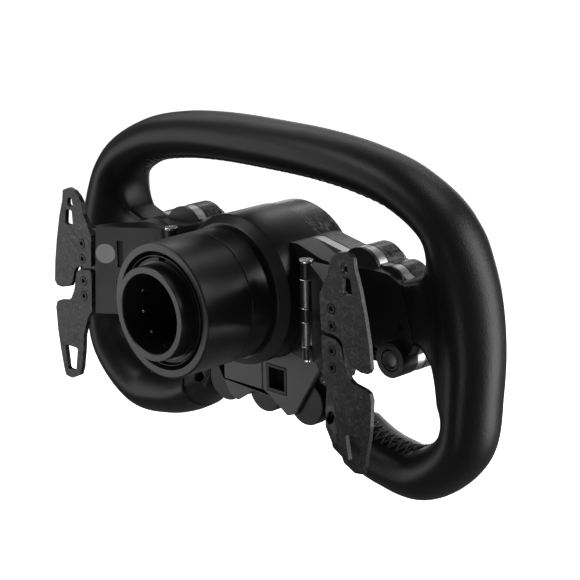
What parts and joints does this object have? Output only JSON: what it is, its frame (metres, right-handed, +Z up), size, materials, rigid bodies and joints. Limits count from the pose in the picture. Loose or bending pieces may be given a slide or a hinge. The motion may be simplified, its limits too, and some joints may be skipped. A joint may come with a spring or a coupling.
{
  "type": "racing wheel rim",
  "caption": "Sim racing wheel rim with leather D-shaped grip, forged carbon front, round display, hinged paddles and a sprung ball-lock quick release.",
  "frame": {"origin": "centre of the quick release socket's mouth, on the hub's axis", "axes": "+X to the driver's right, +Y out of the socket towards the wheel base, +Z up"},
  "size_m": [0.2994, 0.1114, 0.1818],
  "materials": {
    "leather": "smooth black leather with fine grain and cross stitching",
    "forged_carbon": "forged carbon with random grey flakes, satin lacquer",
    "anodised_black": "satin black anodised",
    "frame_aluminium": "fine machined, clear anodised",
    "black_plastic": "fine textured black moulding",
    "grey_plastic": "fine textured dark grey moulding",
    "hinge_metal": "satin bead-blasted",
    "bright_steel": "polished steel",
    "black_steel": "black oxide",
    "core_metal": "as cast",
    "display_glass": "black cover glass",
    "board": "solder mask",
    "switch_body": "moulded",
    "knob_rubber": "soft-touch ribbed",
    "button_cap": "satin",
    "gold_contact": "gold plated",
    "steel_spring": "spring steel"
  },
  "bodies": {
    "chassis": {"rim_core": "core_metal", "rim_grip": "leather", "right_spoke_wrap": "leather", "left_spoke_wrap": "leather", "right_lower_bracket": "black_plastic", "left_lower_bracket": "black_plastic", "right_rear_housing": "black_plastic", "left_rear_housing": "black_plastic", "chin_housing": "black_plastic", "front_plate": "forged_carbon", "hub_trim_ring": "forged_carbon", "mid_frame": "frame_aluminium", "hub_barrel": "anodised_black", "qr_core": "anodised_black", "chin_cover": "grey_plastic", "chin_panel": "grey_plastic", "port_socket": "black_plastic", "qr_contact_block": "black_plastic", "display_module": "black_plastic", "housing_screws": "black_steel", "qr_bolts": "black_steel", "display_glass": "display_glass", "main_board": "board", "encoder_modules": "switch_body", "button_switches": "switch_body", "right_paddle_bracket": "hinge_metal", "left_paddle_bracket": "hinge_metal", "qr_lock_balls": "bright_steel", "qr_retaining_clip": "black_steel", "qr_spring": "steel_spring", "qr_contact_pins": "gold_contact"},
    "right_paddle": {"right_paddle_arm": "anodised_black", "right_arm_magnet": "hinge_metal", "right_upper_paddle": "forged_carbon", "right_lower_paddle": "forged_carbon", "right_paddle_screws": "black_steel", "right_hinge_pin": "bright_steel"},
    "right_top_button": {"right_top_button": "button_cap"},
    "right_outer_button": {"right_outer_button": "button_cap"},
    "right_inner_button": {"right_inner_button": "button_cap"},
    "right_rear_button": {"right_rear_button": "button_cap"},
    "right_rotary_knob": {"right_rotary_knob": "knob_rubber"},
    "right_thumb_knob": {"right_thumb_knob": "knob_rubber"},
    "left_paddle": {"left_paddle_arm": "anodised_black", "left_arm_magnet": "hinge_metal", "left_upper_paddle": "forged_carbon", "left_lower_paddle": "forged_carbon", "left_paddle_screws": "black_steel", "left_hinge_pin": "bright_steel"},
    "left_top_button": {"left_top_button": "button_cap"},
    "left_outer_button": {"left_outer_button": "button_cap"},
    "left_inner_button": {"left_inner_button": "button_cap"},
    "left_rear_button": {"left_rear_button": "button_cap"},
    "left_rotary_knob": {"left_rotary_knob": "knob_rubber"},
    "left_thumb_knob": {"left_thumb_knob": "knob_rubber"},
    "centre_button": {"centre_button": "button_cap"},
    "qr_sleeve": {"qr_sleeve": "anodised_black", "qr_collar": "anodised_black"}
  },
  "joints": [
    {"name": "right_paddle_pull", "type": "hinge", "parent": "chassis", "child": "right_paddle", "pos_m": [0.0505, -0.061, 0], "axis": [0, 0, -1], "range_deg": [0, 5], "stiffness_Nm_per_rad": 2, "springref_deg": -2.86},
    {"name": "left_paddle_pull", "type": "hinge", "parent": "chassis", "child": "left_paddle", "pos_m": [-0.0505, -0.061, 0], "axis": [0, 0, 1], "range_deg": [0, 5], "stiffness_Nm_per_rad": 2, "springref_deg": -2.86},
    {"name": "right_top_button_press", "type": "slide", "parent": "chassis", "child": "right_top_button", "axis": [0, 1, 0], "range_m": [0, 0.0012], "stiffness_N_per_m": 800, "springref_m": -0.0012},
    {"name": "right_outer_button_press", "type": "slide", "parent": "chassis", "child": "right_outer_button", "axis": [0, 1, 0], "range_m": [0, 0.0012], "stiffness_N_per_m": 800, "springref_m": -0.0012},
    {"name": "right_inner_button_press", "type": "slide", "parent": "chassis", "child": "right_inner_button", "axis": [0, 1, 0], "range_m": [0, 0.0012], "stiffness_N_per_m": 800, "springref_m": -0.0012},
    {"name": "right_rear_button_press", "type": "slide", "parent": "chassis", "child": "right_rear_button", "axis": [0, -1, 0], "range_m": [0, 0.0012], "stiffness_N_per_m": 800, "springref_m": -0.0012},
    {"name": "right_rotary_knob_turn", "type": "hinge", "parent": "chassis", "child": "right_rotary_knob", "pos_m": [0.0665, -0.1, 0.0162], "axis": [0, -1, 0], "continuous": true},
    {"name": "right_thumb_knob_turn", "type": "hinge", "parent": "chassis", "child": "right_thumb_knob", "pos_m": [0.0305, -0.1, -0.06], "axis": [0, -1, 0], "continuous": true},
    {"name": "left_top_button_press", "type": "slide", "parent": "chassis", "child": "left_top_button", "axis": [0, 1, 0], "range_m": [0, 0.0012], "stiffness_N_per_m": 800, "springref_m": -0.0012},
    {"name": "left_outer_button_press", "type": "slide", "parent": "chassis", "child": "left_outer_button", "axis": [0, 1, 0], "range_m": [0, 0.0012], "stiffness_N_per_m": 800, "springref_m": -0.0012},
    {"name": "left_inner_button_press", "type": "slide", "parent": "chassis", "child": "left_inner_button", "axis": [0, 1, 0], "range_m": [0, 0.0012], "stiffness_N_per_m": 800, "springref_m": -0.0012},
    {"name": "left_rear_button_press", "type": "slide", "parent": "chassis", "child": "left_rear_button", "axis": [0, -1, 0], "range_m": [0, 0.0012], "stiffness_N_per_m": 800, "springref_m": -0.0012},
    {"name": "left_rotary_knob_turn", "type": "hinge", "parent": "chassis", "child": "left_rotary_knob", "pos_m": [-0.0665, -0.1, 0.0162], "axis": [0, -1, 0], "continuous": true},
    {"name": "left_thumb_knob_turn", "type": "hinge", "parent": "chassis", "child": "left_thumb_knob", "pos_m": [-0.0305, -0.1, -0.06], "axis": [0, -1, 0], "continuous": true},
    {"name": "centre_button_press", "type": "slide", "parent": "chassis", "child": "centre_button", "axis": [0, 1, 0], "range_m": [0, 0.0012], "stiffness_N_per_m": 800, "springref_m": -0.0012},
    {"name": "qr_sleeve_pull", "type": "slide", "parent": "chassis", "child": "qr_sleeve", "axis": [0, -1, 0], "range_m": [0, 0.0032], "stiffness_N_per_m": 4000, "springref_m": -0.004, "deforming": ["qr_spring"]}
  ]
}
